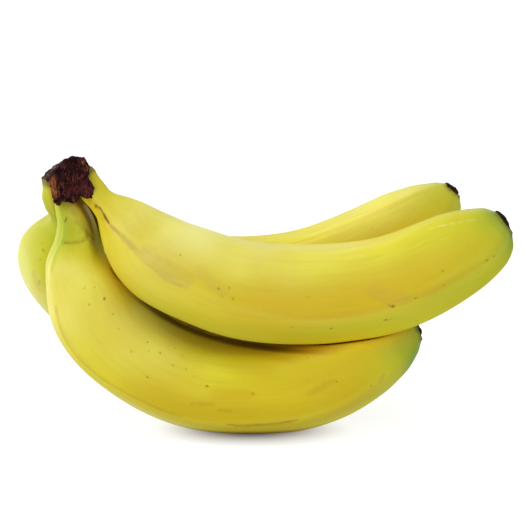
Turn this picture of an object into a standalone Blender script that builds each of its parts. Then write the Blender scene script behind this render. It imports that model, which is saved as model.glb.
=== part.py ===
"""A bunch of four bananas on one dried crown, lying on its two lower fingers.

World metres, +Z up, the bunch runs along +X from the crown to the blossom tips.
Points and sizes below are in millimetres and are scaled once, by MM.
"""
import math

import bmesh
import bpy
import numpy as np

MM = 0.001

# Driving dimensions, millimetres
GAP = 0.35                 # air left between pieces that touch
BUNCH_CENTRE = (-2.85, 17.25)  # middle of the box round the bunch
FACETS = 5                 # a banana has five long faces
SIDES_PER_FACET = 5
RINGS = 40
BODY_SHARPNESS = 4.8       # higher makes the long ridges crisper
NECK_SHARPNESS = 7.0
TIP_SHARPNESS = 6.0
TIP_HEIGHT = 2.0           # thickness of the dried blossom end
CROWN_FRONT_Y = -8.0
CROWN_BACK_Y = 27.5
CROWN_LEAN = 0.225         # the crown sinks this much for each mm toward its back
CROWN_SHIFT = 0.09         # and moves this much to the left

# Each finger: points along its axis from the crown to the tip as (x, y, z, radius),
# and the turn of its ridges about the axis as (share of length, degrees).
FINGERS = {
    "banana_front_upper": {
        "axis": [
            (-72.5, 0.0, 104.4, 5.0), (-68.6, -2.0, 100.4, 5.1), (-65.8, -3.5, 97.5, 4.8),
            (-63.0, -5.0, 95.2, 5.5), (-60.6, -6.0, 93.4, 7.3), (-57.4, -7.0, 90.3, 10.7),
            (-54.1, -8.0, 86.8, 13.7), (-48.2, -9.0, 80.3, 16.4), (-41.2, -10.0, 74.7, 17.7),
            (-30.6, -10.0, 69.0, 18.6), (-14.5, -10.0, 62.8, 19.2), (1.0, -10.0, 60.3, 19.5),
            (19.0, -10.0, 60.1, 19.6), (39.0, -10.0, 62.8, 19.2), (56.5, -10.0, 68.6, 18.6),
            (73.0, -10.0, 77.1, 17.2), (85.8, -10.0, 84.3, 13.3), (91.0, -10.0, 88.3, 9.4),
            (93.4, -10.0, 90.2, 6.9),
        ],
        "turn": [(0.0, -16), (0.19, -18), (0.37, -11), (0.54, -3), (0.64, -3), (0.9, -12), (1.0, -8)],
    },
    "banana_front_lower": {
        "axis": [
            (-79.8, 1.0, 98.5, 4.6), (-78.6, 1.0, 94.0, 5.8), (-76.4, 0.0, 87.7, 7.2),
            (-75.8, 0.0, 79.9, 9.0), (-75.3, 0.0, 71.2, 14.0), (-72.2, 0.0, 61.5, 17.7),
            (-68.2, 0.0, 50.4, 19.3), (-60.2, 0.0, 39.3, 19.6), (-47.0, 0.0, 28.7, 19.6),
            (-28.5, 0.0, 20.7, 19.6), (-9.0, 0.0, 18.7, 19.6), (9.5, 0.0, 19.8, 19.6),
            (25.5, 0.0, 25.0, 19.2), (38.5, 0.0, 32.0, 17.7), (50.0, 0.0, 38.0, 13.4),
            (56.0, 0.0, 41.4, 9.2), (60.6, 0.0, 44.1, 5.2),
        ],
        "turn": [(0.0, 14), (0.06, 14), (0.12, 26), (0.17, 21), (0.26, 12), (0.5, 11), (0.6, 13), (1.0, 8)],
    },
    "banana_back_lower": {
        "axis": [
            (-84.7, 15.5, 100.2, 5.0), (-83.5, 16.0, 93.7, 5.1), (-82.5, 19.0, 87.2, 5.3),
            (-82.0, 22.5, 82.2, 6.7), (-82.3, 27.0, 76.6, 12.8), (-82.8, 32.0, 70.0, 18.2),
            (-82.8, 36.5, 62.3, 20.6), (-77.6, 39.5, 51.8, 19.8), (-69.0, 41.5, 41.5, 19.3),
            (-57.2, 43.0, 30.5, 19.5), (-41.2, 44.0, 22.8, 19.5), (-24.2, 44.0, 18.9, 19.5),
            (-7.1, 44.0, 18.7, 19.4), (9.9, 44.0, 21.5, 18.9), (24.8, 44.0, 27.4, 17.8),
            (36.2, 44.0, 34.6, 15.7), (44.2, 44.0, 41.2, 11.9), (48.0, 44.0, 45.0, 8.5),
            (51.7, 44.0, 48.9, 4.4),
        ],
        "turn": [(0.0, 6), (0.3, 10), (1.0, 16)],
    },
    "banana_back_upper": {
        "axis": [
            (-75.9, 20.5, 97.8, 4.6), (-71.5, 20.5, 91.5, 5.4), (-66.5, 22.0, 84.0, 8.2),
            (-58.5, 25.0, 77.8, 12.0), (-48.0, 27.5, 69.5, 15.5), (-34.0, 28.0, 60.8, 17.5),
            (-19.5, 28.0, 56.4, 18.2), (-4.0, 28.0, 55.8, 18.5), (13.7, 28.0, 57.9, 18.7),
            (32.3, 28.0, 63.8, 18.8), (46.0, 28.0, 70.3, 18.4), (56.8, 28.0, 77.0, 17.3),
            (66.2, 28.0, 84.8, 13.5), (72.2, 28.0, 90.2, 9.2), (76.2, 28.0, 94.4, 5.4),
        ],
        "turn": [(0.0, -10), (0.3, 0), (0.85, 2), (1.0, -8)],
    },
}

# Which finger gives way, and flattens, where it lies against another
PRESSED = [
    ("banana_front_lower", "banana_front_upper"),
    ("banana_back_upper", "banana_front_upper"),
    ("banana_back_lower", "banana_front_lower"),
    ("banana_back_lower", "banana_back_upper"),
]

# Torn front face of the crown, (x, z) round its edge, and how far the knife-cut
# top left edge steps out to the left behind it
CROWN_EDGE = [
    (-85.5, 107.0), (-83.5, 109.6), (-81.1, 112.4), (-79.0, 114.6), (-76.0, 116.4),
    (-73.5, 115.8), (-71.5, 114.8), (-69.3, 112.2), (-69.7, 110.2), (-70.2, 108.2),
    (-69.1, 105.2), (-68.3, 102.6), (-67.6, 100.2), (-68.4, 99.0), (-70.8, 99.6),
    (-73.9, 100.0), (-75.1, 98.6), (-76.3, 97.0), (-78.7, 97.8), (-80.6, 98.4),
    (-81.8, 96.6), (-83.8, 97.6), (-84.1, 100.2), (-84.8, 103.8),
]
CROWN_STEP = {0: (-2.9, 0.3), 1: (-3.2, 0.0), 2: (-2.2, 0.0), 3: (-1.1, 0.0), 23: (-0.4, 1.9)}


def monotone(knots, values, x):
    """Smooth curve through the knots that never swings past them."""
    knots = np.asarray(knots, float)
    values = np.asarray(values, float)
    step = np.diff(knots)
    slope = np.diff(values) / step
    grade = np.zeros(len(knots))
    grade[0] = slope[0]
    grade[-1] = slope[-1]
    for i in range(1, len(knots) - 1):
        if slope[i - 1] * slope[i] > 0:
            w1 = 2 * step[i] + step[i - 1]
            w2 = step[i] + 2 * step[i - 1]
            grade[i] = (w1 + w2) / (w1 / slope[i - 1] + w2 / slope[i])
    i = np.clip(np.searchsorted(knots, x, side="right") - 1, 0, len(knots) - 2)
    u = (x - knots[i]) / step[i]
    start = (1 + 2 * u) * (1 - u) ** 2 * values[i] + u * (1 - u) ** 2 * step[i] * grade[i]
    end = u * u * (3 - 2 * u) * values[i + 1] + u * u * (u - 1) * step[i] * grade[i + 1]
    return start + end


def spline(points):
    """Natural cubic spline through the points, as 1200 finely spaced points."""
    chord = np.r_[0, np.cumsum(np.linalg.norm(np.diff(points, axis=0), axis=1))]
    h = np.diff(chord)
    count = len(points)
    system = np.eye(count)
    bend = np.zeros((count, 3))
    for i in range(1, count - 1):
        system[i, i - 1:i + 2] = (h[i - 1], 2 * (h[i - 1] + h[i]), h[i])
        ahead = (points[i + 1] - points[i]) / h[i]
        behind = (points[i] - points[i - 1]) / h[i - 1]
        bend[i] = 6 * (ahead - behind)
    bend = np.linalg.solve(system, bend)
    t = np.linspace(0, chord[-1], 1200)
    i = np.clip(np.searchsorted(chord, t, side="right") - 1, 0, count - 2)
    before = (t - chord[i])[:, None]
    after = (chord[i + 1] - t)[:, None]
    span = h[i][:, None]
    line = (after * points[i] + before * points[i + 1]) / span
    curve = bend[i] * (after ** 3 / span - after * span) + bend[i + 1] * (before ** 3 / span - before * span)
    return line + curve / 6


def finger_frame(spec):
    """Fine axis of a finger with its tangent, side and up directions and length share."""
    rows = np.asarray(spec["axis"], float)
    fine = spline(rows[:, :3])
    along = np.r_[0, np.cumsum(np.linalg.norm(np.diff(fine, axis=0), axis=1))]
    share = along / along[-1]
    tangent = np.gradient(fine, along, axis=0)
    tangent /= np.linalg.norm(tangent, axis=1)[:, None]
    side = np.array([0.0, -1.0, 0.0]) + tangent[:, 1:2] * tangent
    side /= np.linalg.norm(side, axis=1)[:, None]
    up = np.cross(side, tangent)
    up *= np.sign(up[len(up) // 2, 2])
    knots = [share[np.argmin(((fine - row[:3]) ** 2).sum(1))] for row in rows]
    knots[0] = 0.0
    knots[-1] = 1.0
    return {
        "fine": fine, "share": share, "tangent": tangent, "side": side, "up": up,
        "knots": knots, "radii": rows[:, 3], "turn": spec["turn"],
    }


def turn_at(frame, share):
    """Turn of the ridges about the axis, radians."""
    return np.radians(np.interp(share, *zip(*frame["turn"])))


def radius_at(frame, share, angle):
    """Distance from axis to skin: a five-sided outline with rounded ridges."""
    sharp = np.interp(
        share, [0, 0.1, 0.2, 0.8, 0.97, 1],
        [TIP_SHARPNESS, NECK_SHARPNESS, BODY_SHARPNESS, BODY_SHARPNESS, TIP_SHARPNESS, TIP_SHARPNESS],
    )
    local = angle - turn_at(frame, share)
    total = 0
    mean = 0
    for k in range(FACETS):
        facing = 2 * math.pi * k / FACETS
        total = total + np.maximum(np.cos(local - facing), 0) ** sharp
    for quarter in np.linspace(0, math.pi / FACETS, 5):
        part = 0
        for k in range(FACETS):
            part = part + np.maximum(np.cos(quarter - 2 * math.pi * k / FACETS), 0) ** sharp
        mean = mean + part ** (-1 / sharp) / 5
    return monotone(frame["knots"], frame["radii"], share) * total ** (-1 / sharp) / mean


def axis_at(frame, share):
    """Axis point, up, side and tangent at a share of the length."""
    found = []
    for key in ("fine", "up", "side", "tangent"):
        field = frame[key]
        columns = [np.interp(share, frame["share"], field[:, c]) for c in range(3)]
        found.append(np.stack(columns, -1))
    return found


def clearance(points, frame):
    """How far the points stand outside another finger's skin."""
    sample = slice(None, None, 6)
    centre = frame["fine"][sample]
    nearest = np.argmin(((points[:, None] - centre[None]) ** 2).sum(2), axis=1)
    away = points - centre[nearest]
    across = (away * frame["side"][sample][nearest]).sum(1)
    above = (away * frame["up"][sample][nearest]).sum(1)
    distance = np.linalg.norm(away, axis=1)
    share = frame["share"][sample][nearest]
    return distance - radius_at(frame, share, np.arctan2(across, above))


def finger_rings(frame, shares, extra=0.0):
    """Rings of points round the axis, with one point on each ridge."""
    sides = FACETS * SIDES_PER_FACET
    local = 2 * math.pi * (np.arange(sides) + 0.5 * SIDES_PER_FACET) / sides
    centre, up, side, _ = axis_at(frame, shares)
    angle = local[None] + turn_at(frame, shares)[:, None]
    share_grid = np.repeat(shares[:, None], sides, axis=1)
    radius = radius_at(frame, share_grid, angle) + extra
    out = np.cos(angle)[..., None] * up[:, None] + np.sin(angle)[..., None] * side[:, None]
    return centre, centre[:, None] + radius[..., None] * out


def press(rings, centre, neighbour):
    """Draw in the points that would touch the neighbour, so the two lie flat together."""
    shape = rings.shape
    middle = np.repeat(centre[:, None], shape[1], axis=1).reshape(-1, 3)
    points = rings.reshape(-1, 3).copy()
    for _ in range(14):
        short = np.maximum(2 * GAP - clearance(points, neighbour), 0)
        inward = middle - points
        reach = np.linalg.norm(inward, axis=1)
        points += inward * (0.8 * short / reach)[:, None]
    return points.reshape(shape)


def ring_shares():
    """Shares of the length where rings stand, closer together at neck and tip."""
    u = np.linspace(0, 1, RINGS)
    return 0.55 * u + 0.45 * 0.5 * (1 - np.cos(np.pi * u))


def closed_mesh(name, rings, first=None, last=None):
    """Mesh through rings of points, closed at each end by a fan to a middle point."""
    count, sides = rings.shape[:2]
    if first is None:
        first = rings[0].mean(0)
    if last is None:
        last = rings[-1].mean(0)
    points = np.vstack([rings.reshape(-1, 3), first, last])
    points = points - np.array([BUNCH_CENTRE[0], BUNCH_CENTRE[1], 0.0])
    faces = []
    for i in range(count - 1):
        for j in range(sides):
            k = (j + 1) % sides
            faces.append((i * sides + j, i * sides + k, (i + 1) * sides + k, (i + 1) * sides + j))
    top = count * sides
    for j in range(sides):
        k = (j + 1) % sides
        faces.append((top, k, j))
        faces.append((top + 1, (count - 1) * sides + j, (count - 1) * sides + k))
    mesh = bpy.data.meshes.new(name)
    mesh.from_pydata((points * MM).tolist(), [], faces)
    work = bmesh.new()
    work.from_mesh(mesh)
    bmesh.ops.recalc_face_normals(work, faces=work.faces)
    work.to_mesh(mesh)
    work.free()
    return mesh


def add_object(name, mesh, material, sharp_angle=40.0):
    """Put a mesh in the scene as a smooth-shaded object with its material."""
    thing = bpy.data.objects.new(name, mesh)
    bpy.context.scene.collection.objects.link(thing)
    if material is not None:
        mesh.materials.append(material)
    mesh.shade_smooth()
    mesh.set_sharp_from_angle(angle=math.radians(sharp_angle))
    return thing


def make_material(name, colour, roughness):
    """Plain non-metal material."""
    material = bpy.data.materials.new(name)
    material.use_nodes = True
    shader = material.node_tree.nodes["Principled BSDF"]
    shader.inputs["Base Color"].default_value = (*colour, 1.0)
    shader.inputs["Roughness"].default_value = roughness
    shader.inputs["Metallic"].default_value = 0.0
    material.diffuse_color = (*colour, 1.0)
    return material


def add_finger(name, frames, material):
    """One banana: a curved five-sided body with a neck, a shoulder and a blunt end."""
    frame = frames[name]
    centre, rings = finger_rings(frame, ring_shares())
    for yielding, other in PRESSED:
        if yielding == name:
            rings = press(rings, centre, frames[other])
    rings[..., 2] = np.maximum(rings[..., 2], 0.0)
    return add_object(name, closed_mesh(name, rings), material)


def add_blossom_tip(name, frame, material):
    """Dried remains of the flower: a thin rough disc on the blunt end of a finger."""
    sides = 20
    angle = 2 * math.pi * np.arange(sides) / sides
    centre, up, side, tangent = [v[0] for v in axis_at(frame, np.array([1.0]))]
    end_radius = frame["radii"][-1]
    profile = [(0.0, 0.86), (0.3, 0.95), (0.65, 0.84), (0.95, 0.58), (0.9, 0.28)]
    rings = []
    for height, width in profile:
        wobble = 1 + 0.05 * np.sin(5 * angle + 1.0) + 0.03 * np.sin(3 * angle + 4 * height)
        radius = end_radius * width * wobble
        lift = GAP + TIP_HEIGHT * height * (1 + 0.12 * np.sin(4 * angle + 2.0) * (height > 0))
        out = np.cos(angle)[:, None] * up + np.sin(angle)[:, None] * side
        rings.append(centre + radius[:, None] * out + lift[:, None] * tangent)
    return add_object(name, closed_mesh(name, np.array(rings)), material)


def crown_layer(y):
    """Edge of the crown at one depth, (x, y, z) points."""
    edge = np.array(CROWN_EDGE)
    stepped = edge.copy()
    for index, step in CROWN_STEP.items():
        stepped[index] += step
    blend = np.clip((y - CROWN_FRONT_Y) / 6.0, 0, 1)
    edge = edge + blend * (stepped - edge)
    behind = y - CROWN_FRONT_Y
    middle = edge.mean(0)
    rounded = np.clip((y - 19.0) / (CROWN_BACK_Y - 19.0), 0, 1)
    scale = 1.0 - 0.34 * rounded ** 2
    edge = middle + (edge - middle) * scale
    edge[:, 1] -= CROWN_LEAN * behind
    edge[:, 0] -= CROWN_SHIFT * behind
    return np.column_stack([edge[:, 0], np.full(len(edge), y), edge[:, 1]])


def crown_rings():
    """Rings of the crown from the middle of its torn face round to its back."""
    front = crown_layer(CROWN_FRONT_Y)
    back = crown_layer(CROWN_BACK_Y)
    rings = []
    for share, depth in ((0.3, 0.5), (0.6, -0.2), (0.85, 0.3)):
        ring = front.mean(0) + (front - front.mean(0)) * share
        ring[:, 1] += depth
        rings.append(ring)
    for y in (CROWN_FRONT_Y + 0.6, -5.0, -1.0, 4.0, 9.0, 14.0, 19.0, 23.5, 26.0, CROWN_BACK_Y):
        rings.append(crown_layer(y))
    for share in (0.66, 0.33):
        ring = back.mean(0) + (back - back.mean(0)) * share
        ring[:, 1] += 0.9 * (1 - share)
        rings.append(ring)
    return np.array(rings)


def roughen(points, amount):
    """Push points along fixed waves, as torn fibres stand out."""
    x, y, z = points[..., 0], points[..., 1], points[..., 2]
    wave = np.sin(1.9 * x + 0.7 * z) + np.sin(1.3 * z - 0.9 * y + 1.0) + np.sin(0.8 * y + 2.3 * x)
    moved = points.copy()
    moved[..., 1] += amount * wave
    moved[..., 0] += 0.35 * amount * np.sin(1.7 * z + 0.6 * y)
    moved[..., 2] += 0.35 * amount * np.sin(1.5 * x + 0.8 * y + 2.0)
    return moved


def add_crown(frames, material):
    """Dried block that the four necks grow from, with a socket round each neck."""
    crown = add_object("crown", closed_mesh("crown", roughen(crown_rings(), 0.3)), material, 30.0)
    for name, frame in frames.items():
        shares = np.linspace(0, 0.2, 9)
        centre, rings = finger_rings(frame, shares, GAP)
        start = -GAP * frame["tangent"][0]
        rings[0] += start
        cutter = add_object("cut_" + name, closed_mesh("cut_" + name, rings), None)
        cutter.hide_render = True
        cutter.display_type = "WIRE"
        cut = crown.modifiers.new("neck_of_" + name, "BOOLEAN")
        cut.operation = "DIFFERENCE"
        cut.solver = "EXACT"
        cut.object = cutter
    return crown


def build():
    """Clear the scene and make the fingers, their blossom tips and the crown."""
    for thing in list(bpy.data.objects):
        bpy.data.objects.remove(thing, do_unlink=True)
    peel = make_material("banana_peel", (0.76, 0.66, 0.08), 0.42)
    dried_tip = make_material("dried_tip", (0.035, 0.022, 0.014), 0.8)
    dried_crown = make_material("dried_crown", (0.075, 0.028, 0.022), 0.75)
    frames = {name: finger_frame(spec) for name, spec in FINGERS.items()}
    for name, frame in frames.items():
        add_finger(name, frames, peel)
        add_blossom_tip(name.replace("banana", "blossom_tip"), frame, dried_tip)
    add_crown(frames, dried_crown)


build()
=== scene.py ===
import math

import bpy
import numpy as np
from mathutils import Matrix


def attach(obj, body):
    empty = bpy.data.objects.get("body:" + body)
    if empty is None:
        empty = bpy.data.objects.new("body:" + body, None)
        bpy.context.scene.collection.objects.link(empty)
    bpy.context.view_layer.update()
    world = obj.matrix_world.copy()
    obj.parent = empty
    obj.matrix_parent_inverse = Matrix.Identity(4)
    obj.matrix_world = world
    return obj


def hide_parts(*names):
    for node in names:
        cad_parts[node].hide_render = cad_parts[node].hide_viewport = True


# Bunch of bananas: fine fruit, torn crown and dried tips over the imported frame.
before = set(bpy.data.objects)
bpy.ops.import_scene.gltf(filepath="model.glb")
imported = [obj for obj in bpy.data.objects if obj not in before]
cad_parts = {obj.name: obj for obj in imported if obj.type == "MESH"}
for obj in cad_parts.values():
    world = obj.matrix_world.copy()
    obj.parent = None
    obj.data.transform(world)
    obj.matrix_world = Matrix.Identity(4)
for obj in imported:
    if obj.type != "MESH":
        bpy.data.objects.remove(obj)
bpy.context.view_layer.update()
print("frame loaded:", ", ".join(sorted(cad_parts)))

mm = 0.001
bunch = {
    "centre": (-2.85, 17.25),   # mm, middle of the bunch on the floor
    "facets": 5,                # long ridges round each fruit
    "axisPoints": 1200,         # points of the fine curve through a fruit's axis rows
    "nearEvery": 8,             # of them, those tried for the nearest one
    "blockSize": 20000,         # skin points measured at a time, which keeps memory small
    "pressSteps": 10, "pressShare": 0.8,
}


def hexColour(text):
    # sRGB hex to linear: c/12.92 below 0.04045, else ((c + 0.055)/1.055)^2.4
    parts = np.array([int(text[i:i + 2], 16) / 255 for i in (1, 3, 5)])
    linear = np.where(parts <= 0.04045, parts / 12.92, ((parts + 0.055) / 1.055) ** 2.4)
    return (*linear.tolist(), 1.0)


def perMetre(sizeMm):
    return 1000.0 / sizeMm      # texture scale that makes one feature sizeMm wide


def fade(low, high, x):
    # smooth step: u^2 (3 - 2u), u = (x - low)/(high - low) held to 0..1
    u = np.clip((x - low) / (high - low), 0, 1)
    return u * u * (3 - 2 * u)


def bell(x, width):
    return np.exp(-(x / width) ** 2)        # 1 in the middle, 0.37 at the width


def between(rows, x):
    return np.interp(x, *zip(*rows))        # straight lines through (place, value) rows


def toMetres(points):
    # mm in the photo's frame to metres round the middle of the bunch
    return (points - np.array([*bunch["centre"], 0.0])) * mm


def latticeNoise(points, seed):
    # value noise: random corners of a unit lattice, blended by u^2 (3 - 2u) on each axis
    base = np.floor(points)
    part = points - base
    ease = part * part * (3 - 2 * part)
    total = 0
    for cx in (0, 1):
        for cy in (0, 1):
            for cz in (0, 1):
                corner = base + (cx, cy, cz)
                turn = corner @ np.array([127.1, 311.7, 74.7]) + 17.31 * seed
                value = np.sin(turn) * 43758.5453
                value = value - np.floor(value)
                weight = np.ones(value.shape)
                for axis, side in enumerate((cx, cy, cz)):
                    weight = weight * (ease[..., axis] if side else 1 - ease[..., axis])
                total = total + weight * value
    return 2 * total - 1


def layeredNoise(points, seed, layers=4):
    # sum over k of latticeNoise(2^k p) / 2^k
    total = 0
    for k in range(layers):
        total = total + latticeNoise(points * 2 ** k, seed + 5 * k) / 2 ** k
    return total


def monotoneCurve(knots, values, x):
    # cubic through the knots with harmonic-mean grades, so it never swings past them
    knots = np.asarray(knots, float)
    values = np.asarray(values, float)
    step = np.diff(knots)
    slope = np.diff(values) / step
    grade = np.zeros(len(knots))
    grade[0] = slope[0]
    grade[-1] = slope[-1]
    for i in range(1, len(knots) - 1):
        if slope[i - 1] * slope[i] > 0:
            w1 = 2 * step[i] + step[i - 1]
            w2 = step[i] + 2 * step[i - 1]
            grade[i] = (w1 + w2) / (w1 / slope[i - 1] + w2 / slope[i])
    i = np.clip(np.searchsorted(knots, x, side="right") - 1, 0, len(knots) - 2)
    u = (x - knots[i]) / step[i]
    start = (1 + 2 * u) * (1 - u) ** 2 * values[i] + u * (1 - u) ** 2 * step[i] * grade[i]
    end = u * u * (3 - 2 * u) * values[i + 1] + u * u * (u - 1) * step[i] * grade[i + 1]
    return start + end


def smoothSpline(points):
    # natural cubic spline: second derivatives m solve h0 m0 + 2(h0 + h1) m1 + h1 m2 = 6 (slope change)
    chord = np.r_[0, np.cumsum(np.linalg.norm(np.diff(points, axis=0), axis=1))]
    h = np.diff(chord)
    count = len(points)
    system = np.eye(count)
    bend = np.zeros((count, 3))
    for i in range(1, count - 1):
        system[i, i - 1:i + 2] = (h[i - 1], 2 * (h[i - 1] + h[i]), h[i])
        bend[i] = 6 * ((points[i + 1] - points[i]) / h[i] - (points[i] - points[i - 1]) / h[i - 1])
    bend = np.linalg.solve(system, bend)
    t = np.linspace(0, chord[-1], bunch["axisPoints"])
    i = np.clip(np.searchsorted(chord, t, side="right") - 1, 0, count - 2)
    before = (t - chord[i])[:, None]
    after = (chord[i + 1] - t)[:, None]
    span = h[i][:, None]
    line = (after * points[i] + before * points[i + 1]) / span
    curve = bend[i] * (after ** 3 / span - after * span) + bend[i + 1] * (before ** 3 / span - before * span)
    return line + curve / 6


def addField(mesh, label, values):
    # one number or one vector for each vertex
    vector = values.ndim == 2
    layer = mesh.attributes.new(label, "FLOAT_VECTOR" if vector else "FLOAT", "POINT")
    layer.data.foreach_set("vector" if vector else "value", values.astype(np.float32).ravel())


def meshFromGrid(name, grid, fields):
    # grid (rings, sides, 3) in mm, closed round each ring, with a pole closing each end; the
    # faces are turned round where the volume they enclose comes out negative
    rings, sides = grid.shape[:2]
    points = np.vstack([grid.reshape(-1, 3), grid[0].mean(0), grid[-1].mean(0)])
    ring = np.arange(rings - 1)[:, None] * sides
    side = np.arange(sides)[None]
    following = (side + 1) % sides
    quads = np.stack([ring + side, ring + following, ring + sides + following, ring + sides + side], -1)
    quads = quads.reshape(-1, 4)
    first = rings * sides
    last = (rings - 1) * sides
    side = side[0]
    following = following[0]
    lid = np.stack([np.full(sides, first), following, side], -1)
    base = np.stack([np.full(sides, first + 1), last + side, last + following], -1)
    fans = np.vstack([lid, base])
    a, b, c = points[quads[:, 0]], points[quads[:, 1]], points[quads[:, 2]]
    d = points[quads[:, 3]]
    middle = points.mean(0)
    volume = ((np.cross(b - a, c - a) + np.cross(c - a, d - a)) * (a - middle)).sum()
    if volume < 0:
        quads = quads[:, ::-1]
        fans = fans[:, ::-1]
    mesh = bpy.data.meshes.new(name)
    mesh.vertices.add(len(points))
    mesh.vertices.foreach_set("co", toMetres(points).ravel())
    corners = np.concatenate([quads.ravel(), fans.ravel()])
    sizes = np.concatenate([np.full(len(quads), 4), np.full(len(fans), 3)])
    mesh.loops.add(len(corners))
    mesh.loops.foreach_set("vertex_index", corners.astype(np.int32))
    mesh.polygons.add(len(sizes))
    mesh.polygons.foreach_set("loop_start", (np.cumsum(sizes) - sizes).astype(np.int32))
    mesh.polygons.foreach_set("use_smooth", np.ones(len(sizes), bool))
    mesh.update(calc_edges=True)
    mesh.validate()
    for label, field in fields.items():
        flat = field.reshape(rings * sides, *field.shape[2:])
        addField(mesh, label, np.concatenate([flat, [field[0].mean(0)], [field[-1].mean(0)]]))
    return mesh


def placePiece(name, mesh, material, node):
    piece = bpy.data.objects.new(name, mesh)
    bpy.context.scene.collection.objects.link(piece)
    mesh.materials.append(material)
    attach(piece, "root")
    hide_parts(node)
    return piece


def addNode(tree, kind, settings=None, links=None):
    # settings: attributes of the node; links: input name or index -> value or output socket
    node = tree.nodes.new(kind)
    for key, value in (settings or {}).items():
        setattr(node, key, value)
    for key, value in (links or {}).items():
        if isinstance(value, bpy.types.NodeSocket):
            tree.links.new(value, node.inputs[key])
        else:
            node.inputs[key].default_value = value
    return node


def newMaterial(name):
    material = bpy.data.materials.new(name)
    material.use_nodes = True
    tree = material.node_tree
    return material, tree, tree.nodes["Principled BSDF"]


def nodeTools(tree):
    # short forms of the nodes that every material uses
    def field(name):
        return addNode(tree, "ShaderNodeAttribute", {"attribute_name": name}).outputs["Fac"]

    def blend(amount, below, above):
        node = addNode(tree, "ShaderNodeMix", {"data_type": "RGBA"}, {0: amount, 6: below, 7: above})
        return node.outputs[2]

    def sums(kind, a, b, hold=False):
        node = addNode(tree, "ShaderNodeMath", {"operation": kind, "use_clamp": hold}, {0: a, 1: b})
        return node.outputs[0]

    def span(value, low, high, first=0.0, last=1.0):
        node = addNode(tree, "ShaderNodeMapRange", {}, {0: value, 1: low, 2: high, 3: first, 4: last})
        return node.outputs[0]

    def noise(where, sizeMm, detail, distortion=0.0):
        return addNode(tree, "ShaderNodeTexNoise", {}, {
            "Vector": where, "Scale": perMetre(sizeMm), "Detail": detail, "Distortion": distortion,
        }).outputs[0]

    return field, blend, sums, span, noise


def nearness(tree, where, middle, reach):
    # length((p - middle) / reach): 0 at the middle, 1 at the reach; a reach of 0 leaves its axis out
    scale = [1000 / size if size else 0.0 for size in reach]
    away = addNode(tree, "ShaderNodeVectorMath", {"operation": "SUBTRACT"}, {0: where, 1: middle})
    scaled = addNode(tree, "ShaderNodeVectorMath", {"operation": "MULTIPLY"}, {0: away.outputs[0], 1: scale})
    length = addNode(tree, "ShaderNodeVectorMath", {"operation": "LENGTH"}, {0: scaled.outputs[0]})
    return length.outputs["Value"]


def reliefBump(tree, shader, strength, distance, height):
    bump = addNode(tree, "ShaderNodeBump", {}, {"Strength": strength, "Distance": distance, "Height": height})
    tree.links.new(bump.outputs[0], shader.inputs["Normal"])


# Camera first: 850 mm from the bunch, 15 degrees above the floor, about 146 mm of lens
cameraSettings = {
    "aim": (-2.0 - bunch["centre"][0], -bunch["centre"][1], 71.2),  # mm, seen at the middle
    "distance": 850.0,
    "rise": 15.0,
    "pixelsPerMm": 2.5,
    "frameWidth": 524,
    "sensor": 36.0,
}


def addCamera(values):
    # place = aim - distance (0, cos rise, -sin rise)
    # lens = sensor width * distance * pixels per mm / frame width
    data = bpy.data.cameras.new("photoCamera")
    data.sensor_width = values["sensor"]
    data.lens = values["sensor"] * values["distance"] * values["pixelsPerMm"] / values["frameWidth"]
    data.clip_start = 0.05
    data.clip_end = 20.0
    camera = bpy.data.objects.new("photoCamera", data)
    rise = math.radians(values["rise"])
    ahead = np.array([0, math.cos(rise), -math.sin(rise)])
    camera.location = (np.array(values["aim"]) - values["distance"] * ahead) * mm
    camera.rotation_euler = (math.pi / 2 - rise, 0, 0)
    bpy.context.scene.collection.objects.link(camera)
    bpy.context.scene.camera = camera


addCamera(cameraSettings)
print("camera placed")

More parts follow.
